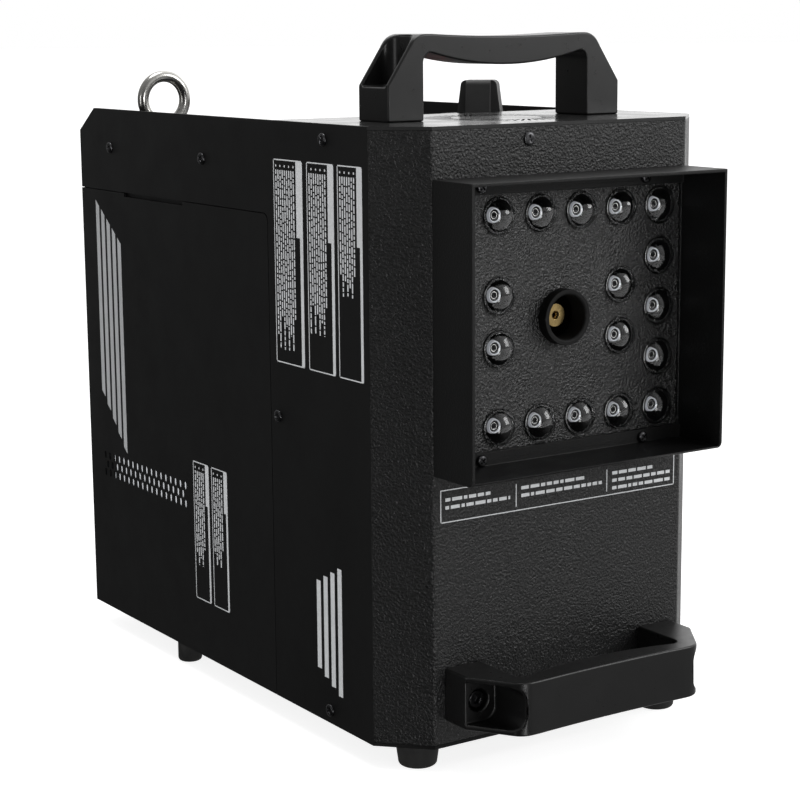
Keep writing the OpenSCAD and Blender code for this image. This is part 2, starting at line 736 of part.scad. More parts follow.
module front_feet() color([0.12, 0.12, 0.12]) place()
    for (s = [-1, 1]) translate([s * front_foot_x, front_foot_y, 0]) rubber_foot(13.2, 11.6, foot_h, 2.5);

module rear_feet() color([0.12, 0.12, 0.12]) place()
    for (s = [-1, 1])
        translate([s * rear_foot_x, rear_foot_y, 0]) rubber_foot(8.2, 8.2, foot_h, 2.5);

module back_feet() color([0.12, 0.12, 0.12]) place()
    for (s = [-1, 1], z = [30, 318])
        translate([s * back_foot_x, case_l, z]) rotate([90, 0, 0]) rubber_foot(11, 9.5, back_foot_h, 2.5);

module panel_screws() color([0.08, 0.08, 0.08]) place() {
    for (p = side_screws, s = [-1, 1])
        translate([s * half_w, p[0], p[1]]) rotate([0, s * 90, 0]) pan_screw();
    translate([top_screw[0], 0, top_screw[1]]) rotate([90, 0, 0]) pan_screw();
    rear_screw_places() pan_screw();
}

module hood_screws() color([0.08, 0.08, 0.08]) place()
    hood_screw_places() translate([0, 0, hood_lip_t]) pan_screw(3.2, 2.2, 9);

// ---------------------------------------------------------------- fan

module fan_frame() color([0.1, 0.1, 0.1]) place() translate([fan_x, fan_y, fan_z0]) difference() {
    union() {
        difference() {
            linear_extrude(fan_t) round_rect(fan_w, fan_w, 4);
            translate([0, 0, -1]) cylinder(r = duct_r, h = fan_t + 2);
        }
        cylinder(r = 14, h = 3);
        cylinder(r = 4, h = 12);
        for (a = [0:90:270]) rotate([0, 0, a + 20]) translate([0, -2, 0]) cube([duct_r + 0.6, 4, 3]);
    }
    translate([0, 0, 3]) cylinder(r = shaft_r + 0.05, h = 12);
    for (sx = [-1, 1], sy = [-1, 1])
        translate([sx * fan_hole_x, sy * fan_hole_x, -1]) cylinder(r = 2.2, h = fan_t + 2, $fn = 24);
}

module fan_rotor() color([0.12, 0.12, 0.13]) place() translate([fan_x, fan_y, fan_z0]) {
    difference() {
        translate([0, 0, 5]) cylinder(r = 16, h = 18);
        translate([0, 0, 4]) cylinder(r = 14, h = 16);
    }
    translate([0, 0, 4]) cylinder(r = shaft_r, h = 17);
    intersection() {
        translate([0, 0, 5]) difference() {
            cylinder(r = duct_r - 1.5, h = 18);
            translate([0, 0, -1]) cylinder(r = 15.5, h = 20);
        }
        for (a = [0:360 / 7:359])
            rotate([0, 0, a]) translate([15, 0, 14]) rotate([52, 0, 0]) translate([0, -12, -0.7])
                cube([duct_r - 15, 24, 1.4]);
    }
}

// ---------------------------------------------------------------- control deck fittings

function button_x(i) = fascia_x + (i - 1.5) * button_dx;

fascia_t = 2;

module control_fascia() color([0.1, 0.1, 0.11]) place() difference() {
    translate([fascia_x, fascia_y, deck_z]) linear_extrude(fascia_t) round_rect(84, 66, 3);
    box(fascia_x - 29, fascia_x + 29, fascia_y + 2, fascia_y + 24, deck_z - 1, deck_z + 5);
    for (i = [0:3]) translate([button_x(i), button_y, deck_z - 1])
        cylinder(r = button_r + button_gap, h = 5);
}

module display_window() color([0.1, 0.2, 0.3, 0.6]) place() {
    box(fascia_x - 29, fascia_x + 29, fascia_y + 2, fascia_y + 24, deck_z + 0.3, deck_z + fascia_t);
    box(fascia_x - 28, fascia_x + 28, fascia_y + 3, fascia_y + 23, deck_z - 5, deck_z + 0.3);
}

// Round push button with a retaining flange under the deck
module button(i) place() translate([button_x(i), button_y, 0]) {
    translate([0, 0, deck_under - 3]) cylinder(r = button_r + 1.4, h = 2.6);
    translate([0, 0, deck_under - 1]) cylinder(r = button_r, h = sheet_t + fascia_t + 3.5);
}

module menu_button() color([0.75, 0.76, 0.78]) button(0);
module up_button() color([0.75, 0.76, 0.78]) button(1);
module down_button() color([0.75, 0.76, 0.78]) button(2);
module enter_button() color([0.75, 0.76, 0.78]) button(3);

board_z = deck_under - 13;

module control_board() color([0.1, 0.4, 0.2]) place() {
    box(fascia_x - 40, fascia_x + 40, fascia_y - 30, fascia_y + 30, board_z, board_z + 1.6);
    for (i = [0:3]) box(button_x(i) - 3, button_x(i) + 3, button_y - 3, button_y + 3,
        board_z + 1.6, board_z + 8.2);
    box(fascia_x - 30, fascia_x + 30, fascia_y + 1, fascia_y + 25, board_z + 1.6, deck_z - 5);
    for (sx = [-1, 1]) box(fascia_x + sx * 30 - 5, fascia_x + sx * 30 + 5, fascia_y - 12,
        fascia_y - 2, board_z - 10, board_z);
}

module power_supply() color([0.68, 0.69, 0.7]) place() difference() {
    box(-80, 80, 24, 126, sheet_t, 52);
    for (i = [0:11]) box(-70 + i * 12, -64 + i * 12, 34, 116, 50, 53);
    box(-76, 76, 122, 127, 10, 26);
}

module power_board() color([0.12, 0.38, 0.2]) place() {
    box(-40, 90, 60, 140, 70, 71.6);
    for (x = [-36, 86], y = [64, 136]) translate([x, y, 52]) cylinder(r = 3, h = 18);
    box(-30, 10, 70, 110, 71.6, 100);
    for (i = [0:2]) translate([30 + i * 20, 80, 71.6]) cylinder(r = 8, h = 26);
    box(20, 80, 100, 128, 71.6, 92);
}

module switch_housing() color([0.08, 0.08, 0.08]) place() difference() {
    union() {
        translate([rocker_x, rocker_y, deck_z]) linear_extrude(2) round_rect(31, 24, 2);
        box(rocker_x - 13, rocker_x + 13, rocker_y - 10.5, rocker_y + 10.5, deck_z - 24, deck_z);
        for (i = [-1, 0, 1]) box(rocker_x + i * 7 - 2.4, rocker_x + i * 7 + 2.4,
            rocker_y - 0.4, rocker_y + 0.4, deck_z - 34, deck_z - 24);
    }
    box(rocker_x - 11, rocker_x + 11, rocker_y - 8.8, rocker_y + 8.8, deck_z - 12, deck_z + 3);
    rod_x(rocker_x - 12.5, rocker_y, deck_z - 3, 1.55, 25);
}

rocker_tilt = 8;

// Rocker with a shallow V top, tilted to its off side, on its own pivot pins
module power_rocker() color([0.75, 0.1, 0.08]) place()
    translate([rocker_x, rocker_y, deck_z - 3]) rotate([rocker_tilt, 0, 0]) {
        along_x(-10.5, 21) polygon([
            [-7.2, 6.2], [0, 4.6], [7.2, 6.2], [6.4, -3], [3, -6], [-3, -6], [-6.4, -3]
        ]);
        rod_x(-12.2, 0, 0, 1.5, 24.4);
    }

inlet_well = 17;

// The three flat contacts of the inlet; the earth contact in the middle stands 1 mm further back
module inlet_blades(z0, z1)
    for (i = [-1, 0, 1]) {
        y = inlet_y + (i == 0 ? 1 : 0);
        box(inlet_x + i * 7 - 1, inlet_x + i * 7 + 1, y - 2, y + 2, z0, z1);
    }

// Appliance inlet: flange with a deep six-sided well
module power_inlet() color([0.07, 0.07, 0.07]) place() difference() {
    union() {
        translate([inlet_x, inlet_y, deck_z]) linear_extrude(2.5) round_rect(50, 26, 3);
        box(inlet_x - 14, inlet_x + 14, inlet_y - 11, inlet_y + 11, deck_z - 19, deck_z);
    }
    translate([inlet_x, inlet_y, deck_z + 2.5 - inlet_well]) linear_extrude(inlet_well + 1) polygon([
        [-12, -8.2], [12, -8.2], [12, 3.7], [7.5, 8.2], [-7.5, 8.2], [-12, 3.7]
    ]);
    inlet_blades(deck_z - 20, deck_z - 10);
}

// Round three-pole audio-type data socket: flange, barrel and well
module xlr_body() {
    translate([0, 0, deck_z]) linear_extrude(2) round_rect(26, 31, 2.5);
    translate([0, 0, deck_z - 19]) cylinder(r = 11.6, h = 19);
}

xlr_pin_r = 1.2;
xlr_pins = [for (a = [90, 210, 330]) [4.3 * cos(a), 4.3 * sin(a)]];

module dmx_in() color([0.72, 0.73, 0.75]) place() translate([dmx_in_x, dmx_y, 0]) difference() {
    xlr_body();
    translate([0, 0, deck_z - 13]) cylinder(r = xlr_r, h = 20);
    for (p = xlr_pins) translate([p[0], p[1], deck_z - 20]) cylinder(r = xlr_pin_r, h = 12);
}

module dmx_out() color([0.72, 0.73, 0.75]) place() translate([dmx_out_x, dmx_y, 0]) difference() {
    xlr_body();
    translate([0, 0, deck_z - 9]) difference() {
        cylinder(r = xlr_r, h = 20);
        cylinder(r = 7.6, h = 10.4);
    }
    for (p = xlr_pins) translate([p[0], p[1], deck_z - 12]) cylinder(r = 1.4, h = 20);
}

module socket_pins() color([0.8, 0.78, 0.6]) place() {
    inlet_blades(deck_z - 24, deck_z - 4);
    for (p = xlr_pins) translate([dmx_in_x + p[0], dmx_y + p[1], deck_z - 24])
        cylinder(r = xlr_pin_r, h = 21);
}

module fuse_holder() color([0.08, 0.08, 0.08]) place() translate([fuse_x, fuse_y, 0]) difference() {
    union() {
        translate([0, 0, deck_z]) cylinder(r = 9, h = 2.5);
        translate([0, 0, deck_z - 30]) cylinder(r = 6.5, h = 30);
    }
    translate([0, 0, deck_z - 26]) cylinder(r = 5, h = 40);
}

module fuse_cap() color([0.1, 0.1, 0.1]) place() translate([fuse_x, fuse_y, 0]) difference() {
    union() {
        translate([0, 0, deck_z + 2.7]) cylinder(r = 7.5, h = 5.8);
        translate([0, 0, deck_z - 12]) cylinder(r = 4.94, h = 15);
    }
    box(-4.5, 4.5, -0.8, 0.8, deck_z + 7, deck_z + 9);
}

front_cover();
left_side_panel();
right_side_panel();
left_rear_cover();
right_rear_cover();
top_plate();
control_deck();
rear_panel();
base_plate();
light_hood();
led_panel();
led_lenses();
led_emitters();
led_board();
led_heat_sink();
nozzle_collar();
brass_nozzle();
heater_block();
heater_jacket();
heater_brackets();
thermostat();
inner_shelf();
pump();
pump_clamp();
suction_hose();
feed_pipe();
fluid_tank();
filler_neck();
cap_gasket();
tank_cap();
top_handle();
front_handle();
handle_screws();
eye_bolt();
eye_bolt_nut();
front_feet();
rear_feet();
back_feet();
panel_screws();
hood_screws();
fan_frame();
fan_rotor();
control_fascia();
display_window();
menu_button();
up_button();
down_button();
enter_button();
control_board();
power_supply();
power_board();
switch_housing();
power_rocker();
power_inlet();
dmx_in();
dmx_out();
socket_pins();
fuse_holder();
fuse_cap();
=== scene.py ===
"""Looks of the fog machine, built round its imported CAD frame.

Builders work in millimetres in the case's own frame: X across, Y back from the front face and
Z up from the case's underside. publish() turns their meshes into the part's frame, in metres.
"""
import json
import math
import random

import bmesh
import bpy
from mathutils import Matrix, Vector


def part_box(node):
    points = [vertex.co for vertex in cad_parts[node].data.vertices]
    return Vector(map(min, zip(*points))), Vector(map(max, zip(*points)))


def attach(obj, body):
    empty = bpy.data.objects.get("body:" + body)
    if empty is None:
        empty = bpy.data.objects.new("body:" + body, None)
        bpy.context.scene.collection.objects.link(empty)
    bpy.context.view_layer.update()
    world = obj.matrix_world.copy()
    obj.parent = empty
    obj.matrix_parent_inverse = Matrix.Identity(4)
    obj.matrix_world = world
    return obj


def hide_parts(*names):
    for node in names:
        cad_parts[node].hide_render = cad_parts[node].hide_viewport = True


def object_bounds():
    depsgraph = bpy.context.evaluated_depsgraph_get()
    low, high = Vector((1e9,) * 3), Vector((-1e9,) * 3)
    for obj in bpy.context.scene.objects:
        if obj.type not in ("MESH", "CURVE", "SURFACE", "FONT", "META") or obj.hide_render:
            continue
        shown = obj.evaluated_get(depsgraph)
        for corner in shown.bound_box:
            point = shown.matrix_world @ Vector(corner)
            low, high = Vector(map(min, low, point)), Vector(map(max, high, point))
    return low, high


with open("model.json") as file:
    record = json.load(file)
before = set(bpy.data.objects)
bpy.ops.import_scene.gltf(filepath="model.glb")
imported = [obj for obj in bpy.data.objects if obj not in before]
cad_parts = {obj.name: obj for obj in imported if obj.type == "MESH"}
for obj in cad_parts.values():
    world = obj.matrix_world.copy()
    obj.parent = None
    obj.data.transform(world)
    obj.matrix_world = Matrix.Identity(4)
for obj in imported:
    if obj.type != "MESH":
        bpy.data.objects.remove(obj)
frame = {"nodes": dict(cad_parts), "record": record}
CAD_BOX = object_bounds()
random.seed(7)

MM = 0.001
RECORD = frame["record"]
SLOT_OF = {row["node"]: row["material_slot"] for row in RECORD["subparts"]}
BODY_OF = {node: body for body, nodes in RECORD["behaviour"]["bodies"].items() for node in nodes}


# ---------------------------------------------------------------- places, taken from the frame

def span(node):
    """A CAD node's lowest and highest corner in the case's frame, in millimetres."""
    return [(corner - CASE_ORIGIN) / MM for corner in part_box(node)]


CASE_ORIGIN = Vector((0.0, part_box("front_cover")[0].y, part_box("base_plate")[0].z))
CASE_TO_PART = Matrix.Translation(CASE_ORIGIN) @ Matrix.Scale(MM, 4)

HALF_W = span("left_side_panel")[0].x * -1
CASE_L = span("rear_panel")[1].y
LAMP_SPAN = span("led_lenses")
NOZZLE_Z = (span("nozzle_collar")[0].z + span("nozzle_collar")[1].z) / 2
PANEL_Y = span("led_panel")[0].y
BOARD_Y = span("led_board")[0].y
DECK_Z = span("control_deck")[1].z
FLANGE_R = 11.5


def lamp_places():
    """Lamp centres: full rows above and below, outer columns, and two lamps each side of the nozzle."""
    half_x = (LAMP_SPAN[1].x - LAMP_SPAN[0].x) / 2 - FLANGE_R
    half_z = (LAMP_SPAN[1].z - LAMP_SPAN[0].z) / 2 - FLANGE_R
    dx, dz = half_x / 2.5, half_z / 2
    places = [((i - 2.5) * dx, NOZZLE_Z + j * dz) for i in range(6) for j in (-2, 2)]
    places += [(s * half_x, NOZZLE_Z + j * dz) for s in (-1, 1) for j in (-1, 0, 1)]
    places += [(s * 1.5 * dx, NOZZLE_Z + j * dz) for s in (-1, 1) for j in (-0.5, 0.5)]
    return places


# ---------------------------------------------------------------- mesh helpers

def facing(direction, at, roll=0.0):
    """Matrix that stands a shape built along +Z at a point, with its +Z along direction."""
    turn = Vector(direction).to_track_quat("Z", "Y").to_matrix().to_4x4()
    return Matrix.Translation(at) @ turn @ Matrix.Rotation(math.radians(roll), 4, "Z")


def lathe(bm, profile, matrix, steps=48):
    """Turns a profile of (radius, height) points about local Z into a closed or open shell."""
    rings = []
    for radius, height in profile:
        if radius < 1e-6:
            rings.append([bm.verts.new(matrix @ Vector((0, 0, height)))])
            continue
        angles = [2 * math.pi * i / steps for i in range(steps)]
        rings.append([
            bm.verts.new(matrix @ Vector((radius * math.cos(a), radius * math.sin(a), height)))
            for a in angles
        ])
    for low, high in zip(rings, rings[1:]):
        for i in range(steps):
            j = (i + 1) % steps
            corners = [low[i % len(low)], low[j % len(low)], high[j % len(high)], high[i % len(high)]]
            corners = list(dict.fromkeys(corners))
            if len(corners) > 2:
                bm.faces.new(corners)


def prism(bm, outline, low, high, matrix):
    """Extrudes a flat outline of (x, y) points from z = low to z = high."""
    bottom = [bm.verts.new(matrix @ Vector((x, y, low))) for x, y in outline]
    top = [bm.verts.new(matrix @ Vector((x, y, high))) for x, y in outline]
    bm.faces.new(list(reversed(bottom)))
    bm.faces.new(top)
    for i in range(len(outline)):
        j = (i + 1) % len(outline)
        bm.faces.new([bottom[i], bottom[j], top[j], top[i]])


def block(bm, low, high, matrix=Matrix.Identity(4)):
    outline = [(low[0], low[1]), (high[0], low[1]), (high[0], high[1]), (low[0], high[1])]
    prism(bm, outline, low[2], high[2], matrix)


def arc(cx, cy, r, start, end, steps):
    """Points on an arc, angles in degrees."""
    angles = [math.radians(start + (end - start) * i / steps) for i in range(steps + 1)]
    return [(cx + r * math.cos(a), cy + r * math.sin(a)) for a in angles]


def publish(name, bm, finish, body="cabinet", replaces=(), round_off=0.0, segments=2,
            in_case_frame=True, smooth_angle=32, clamp=True):
    """Turns a bmesh into a finished piece: its place, edges, shading, finish and body.

    round_off is the width of its edge rounding in millimetres, and clamp keeps that width within
    the shortest edges. smooth_angle is the angle in degrees above which an edge counts as sharp.
    """
    mesh = bpy.data.meshes.new(name)
    bmesh.ops.recalc_face_normals(bm, faces=bm.faces)
    bm.to_mesh(mesh)
    bm.free()
    if in_case_frame:
        mesh.transform(CASE_TO_PART)
    piece = bpy.data.objects.new(name, mesh)
    bpy.context.scene.collection.objects.link(piece)
    for one in finish if isinstance(finish, (list, tuple)) else [finish]:
        mesh.materials.append(one)
    mesh.polygons.foreach_set("use_smooth", [True] * len(mesh.polygons))
    if round_off:
        bevel = piece.modifiers.new("edges", "BEVEL")
        bevel.width = round_off * MM
        bevel.segments = segments
        bevel.limit_method = "ANGLE"
        bevel.angle_limit = math.radians(smooth_angle)
        bevel.use_clamp_overlap = clamp
        bevel.miter_outer = "MITER_ARC"
        weighted = piece.modifiers.new("normals", "WEIGHTED_NORMAL")
        weighted.keep_sharp = True
    else:
        mesh.set_sharp_from_angle(angle=math.radians(smooth_angle))
    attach(piece, body)
    if replaces:
        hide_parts(*replaces)
    return piece


def softened(node, round_off, segments):
    """A cleaned copy of a CAD node with its sharp edges rounded, shown in the node's place."""
    bm = bmesh.new()
    bm.from_mesh(frame["nodes"][node].data)
    bmesh.ops.remove_doubles(bm, verts=bm.verts, dist=2e-6)
    bmesh.ops.dissolve_limit(bm, angle_limit=math.radians(0.6), verts=bm.verts, edges=bm.edges)
    slot = SLOT_OF[node]
    return publish("fine_" + node, bm, FINISH[slot], BODY_OF[node], (node,), round_off, segments,
                   in_case_frame=False, clamp=node not in UNCLAMPED)


# ---------------------------------------------------------------- material helpers

class Finish:
    """A procedural material under construction: one Principled shader and the nodes that feed it."""

    def __init__(self, name, **sockets):
        self.material = bpy.data.materials.new(name)
        self.material.use_nodes = True
        self.tree = self.material.node_tree
        self.shader = self.tree.nodes["Principled BSDF"]
        for socket, value in sockets.items():
            self.shader.inputs[socket.replace("_", " ")].default_value = value
        self.place = self.tree.nodes.new("ShaderNodeTexCoord").outputs["Object"]

    def link(self, source, target):
        self.tree.links.new(source, target)

    def stretched(self, scale):
        """The place, stretched by a scale along each axis, for grain that runs one way."""
        node = self.tree.nodes.new("ShaderNodeMapping")
        node.inputs["Scale"].default_value = scale
        self.link(self.place, node.inputs["Vector"])
        return node.outputs["Vector"]

    def noise(self, size_mm, detail=2.0, distortion=0.0, place=None):
        """Cloudy pattern whose features are about size_mm across."""
        node = self.tree.nodes.new("ShaderNodeTexNoise")
        node.inputs["Scale"].default_value = 1.0 / (size_mm * MM)
        node.inputs["Detail"].default_value = detail
        node.inputs["Distortion"].default_value = distortion
        self.link(place or self.place, node.inputs["Vector"])
        return node.outputs["Fac"]

    def cells(self, size_mm, feature="SMOOTH_F1"):
        """Cell pattern whose cells are about size_mm across."""
        node = self.tree.nodes.new("ShaderNodeTexVoronoi")
        node.feature = feature
        node.inputs["Scale"].default_value = 1.0 / (size_mm * MM)
        self.link(self.place, node.inputs["Vector"])
        return node.outputs["Distance"]

    def spread(self, source, low, high, from_low=0.3, from_high=0.7):
        """Maps a pattern to the range low..high."""
        node = self.tree.nodes.new("ShaderNodeMapRange")
        node.inputs["From Min"].default_value = from_low
        node.inputs["From Max"].default_value = from_high
        node.inputs["To Min"].default_value = low
        node.inputs["To Max"].default_value = high
        self.link(source, node.inputs["Value"])
        return node.outputs["Result"]

    def sum(self, a, b, share):
        """a + share * b."""
        node = self.tree.nodes.new("ShaderNodeMath")
        node.operation = "MULTIPLY_ADD"
        self.link(b, node.inputs[0])
        node.inputs[1].default_value = share
        self.link(a, node.inputs[2])
        return node.outputs["Value"]

    def blend(self, factor, a, b):
        """A colour that goes from a to b with factor."""
        node = self.tree.nodes.new("ShaderNodeMix")
        node.data_type = "RGBA"
        self.link(factor, node.inputs["Factor"])
        for socket, value in ((node.inputs["A"], a), (node.inputs["B"], b)):
            self.set_colour(socket, value)
        return node.outputs["Result"]

    def set_colour(self, socket, value):
        if isinstance(value, tuple):
            socket.default_value = (*value, 1.0)
        else:
            self.link(value, socket)

    def colour(self, value):
        self.link(value, self.shader.inputs["Base Color"])

    def roughness(self, value):
        self.link(value, self.shader.inputs["Roughness"])

    def bump(self, height, depth_mm):
        node = self.tree.nodes.new("ShaderNodeBump")
        node.inputs["Strength"].default_value = 1.0
        node.inputs["Distance"].default_value = depth_mm * MM
        self.link(height, node.inputs["Height"])
        self.link(node.outputs["Normal"], self.shader.inputs["Normal"])

    def edges(self, low=0.53, high=0.62):
        """1 along outside edges and 0 elsewhere, for edges lightened partly by wear, partly by painted
        highlight.
        """
        node = self.tree.nodes.new("ShaderNodeNewGeometry")
        return self.spread(node.outputs["Pointiness"], 0.0, 1.0, low, high)


def grey(value, warmth=0.0):
    """A near-neutral linear colour."""
    return (value * (1 + warmth), value, value * (1 - warmth))


# ---------------------------------------------------------------- materials

def coat(name, tone, rough, grain_mm, depth_mm, gloss, wrinkle):
    """Powder coat: wrinkled or smooth, slightly cloudy, with lighter edges that are partly rubbed, partly a
    painted highlight.
    """
    f = Finish(name, Specular_IOR_Level=gloss)
    grain = f.noise(grain_mm, 2.0, 0.8 if wrinkle else 0.0)
    clouds = f.noise(60.0, 3.0)
    base = f.blend(f.spread(clouds, 0.0, 1.0), grey(tone * 0.86), grey(tone * 1.16, -0.03))
    base = f.blend(f.spread(grain, 0.0, 0.6 if wrinkle else 0.35, 0.4, 0.75), base, grey(tone * 2.2))
    # lighter outside edges: partly wear, partly a painted highlight where the bevels would catch light
    f.colour(f.blend(f.edges(), base, grey(tone * 2.6)))
    rub = f.sum(f.noise(25.0, 4.0), grain, 0.4)
    f.roughness(f.spread(rub, rough - 0.07, rough + 0.07, 0.45, 0.95))
    height = f.sum(grain, f.cells(grain_mm * 1.2), 0.9) if wrinkle else grain
    f.bump(height, depth_mm)
    return f.material


def plastic(name, tone, rough, grain_mm=0.5, depth_mm=0.02, gloss=0.5, colour=None):
    """Moulded plastic with fine spark texture, faint handling marks, and lighter edges that are partly wear,
    partly a painted highlight.
    """
    f = Finish(name, Specular_IOR_Level=gloss)
    low = colour and tuple(c * 0.85 for c in colour) or grey(tone * 0.85)
    high = colour and tuple(min(c * 1.12, 1.0) for c in colour) or grey(tone * 1.2)
    clouds = f.noise(18.0, 4.0)
    base = f.blend(f.spread(clouds, 0.0, 1.0), low, high)
    edge_wear_and_sheen = tuple(min(c * 1.8 + 0.01, 1.0) for c in (colour or grey(tone)))
    # lighter outside edges: partly wear, partly a painted highlight
    f.colour(f.blend(f.edges(0.54, 0.66), base, edge_wear_and_sheen))
    f.roughness(f.spread(f.noise(7.0, 3.0), rough - 0.03, rough + 0.05))
    f.bump(f.noise(grain_mm, 2.0), depth_mm)
    return f.material


def metal(name, colour, rough, brushed=(1.0, 1.0, 1.0), tarnish=0.6, depth_mm=0.008):
    """Bare or plated metal with fine drawn grain and darker, rougher patches."""
    f = Finish(name, Metallic=1.0)
    grain = f.noise(0.35, 3.0, 0.0, f.stretched(brushed))
    patches = f.noise(6.0, 5.0, 0.6)
    dark = tuple(c * tarnish for c in colour)
    base = f.blend(f.spread(patches, 0.0, 1.0, 0.38, 0.66), colour, dark)
    f.colour(f.blend(f.spread(grain, 0.0, 0.25), base, dark))
    f.roughness(f.spread(f.sum(patches, grain, 0.5), rough * 0.75, rough * 1.5, 0.5, 1.0))
    f.bump(grain, depth_mm)
    return f.material


def rubber(name, tone=0.02):
    """Moulded rubber: dull, dusty in patches."""
    f = Finish(name, Specular_IOR_Level=0.35)
    dust = f.sum(f.noise(9.0, 5.0), f.noise(0.9, 2.0), 0.25)
    f.colour(f.blend(f.spread(dust, 0.0, 1.0, 0.45, 0.85), grey(tone), grey(tone * 2.0, 0.03)))
    f.roughness(f.spread(dust, 0.62, 0.86, 0.4, 0.9))
    f.bump(f.noise(0.35, 3.0), 0.03)
    return f.material


def clear_plastic(name, tint, rough, haze=0.0):
    """Clear moulded plastic, with a trace of moulding ripple."""
    f = Finish(name, Transmission_Weight=1.0, IOR=1.49, Coat_Weight=haze)
    ripple = f.noise(4.0, 2.0)
    f.colour(f.blend(f.spread(ripple, 0.0, 1.0), tint, tuple(c * 0.96 for c in tint)))
    f.roughness(f.spread(ripple, rough, rough + 0.03))
    f.bump(ripple, 0.01)
    return f.material


def translucent_tank(name):
    """Milky blow-moulded tank wall with flow marks, glowing faintly: painted light for light passing through
    it.
    """
    f = Finish(name, Subsurface_Weight=0.35, Subsurface_Scale=0.004, Specular_IOR_Level=0.4,
               Emission_Color=(0.86, 0.9, 0.95, 1.0), Emission_Strength=0.1)
    flow = f.noise(14.0, 4.0, 1.0)
    f.colour(f.blend(f.spread(flow, 0.0, 1.0), (0.72, 0.74, 0.74), (0.86, 0.87, 0.86)))
    f.roughness(f.spread(flow, 0.32, 0.5))
    f.bump(f.noise(1.6, 3.0), 0.06)
    return f.material


def board(name, mask, track):
    """Printed circuit board: solder mask with raised copper tracks under it."""
    f = Finish(name, Specular_IOR_Level=0.5)
    tracks = f.cells(4.5, "F1")
    lines = f.spread(tracks, 0.0, 1.0, 0.42, 0.5)
    f.colour(f.blend(lines, mask, track))
    f.roughness(f.spread(f.noise(3.0, 3.0), 0.25, 0.42))
    f.bump(lines, 0.04)
    return f.material


def wool(name):
    """Mineral wool jacket: pale, fibrous and matt."""
    f = Finish(name, Specular_IOR_Level=0.1, Sheen_Weight=0.3)
    fibres = f.noise(0.8, 5.0, 2.0, f.stretched((1.0, 0.2, 1.0)))
    f.colour(f.blend(f.spread(fibres, 0.0, 1.0), (0.5, 0.46, 0.36), (0.78, 0.75, 0.64)))
    f.roughness(f.spread(fibres, 0.85, 1.0))
    f.bump(fibres, 0.6)
    return f.material


def print_ink(name, tone, rough=0.5, painted_glow=0.0):
    """Screen-printed ink with a slightly uneven film; painted_glow makes it give off light of its own, which
    is painted light.
    """
    f = Finish(name, Specular_IOR_Level=0.3, Emission_Color=(0.9, 0.93, 1.0, 1.0), Emission_Strength=painted_glow)
    film = f.sum(f.noise(1.2, 3.0), f.noise(22.0, 3.0), 0.7)
    f.colour(f.blend(f.spread(film, 0.0, 1.0, 0.55, 1.1), grey(tone * 0.82, -0.02), grey(tone, -0.02)))
    f.roughness(f.spread(film, rough - 0.08, rough + 0.1, 0.5, 1.2))
    f.bump(f.noise(0.5, 2.0), 0.01)
    return f.material


def glass_display(name):
    """Dark display glass over a faint grid of unlit dots."""
    f = Finish(name, Specular_IOR_Level=0.6, Coat_Weight=0.6, Coat_Roughness=0.04)
    dots = f.cells(0.9, "F1")
    f.colour(f.blend(f.spread(dots, 0.0, 1.0, 0.35, 0.5), (0.006, 0.012, 0.03), (0.003, 0.005, 0.012)))
    f.roughness(f.spread(f.noise(12.0, 4.0), 0.06, 0.16))
    f.bump(f.noise(30.0, 1.0), 0.02)
    return f.material


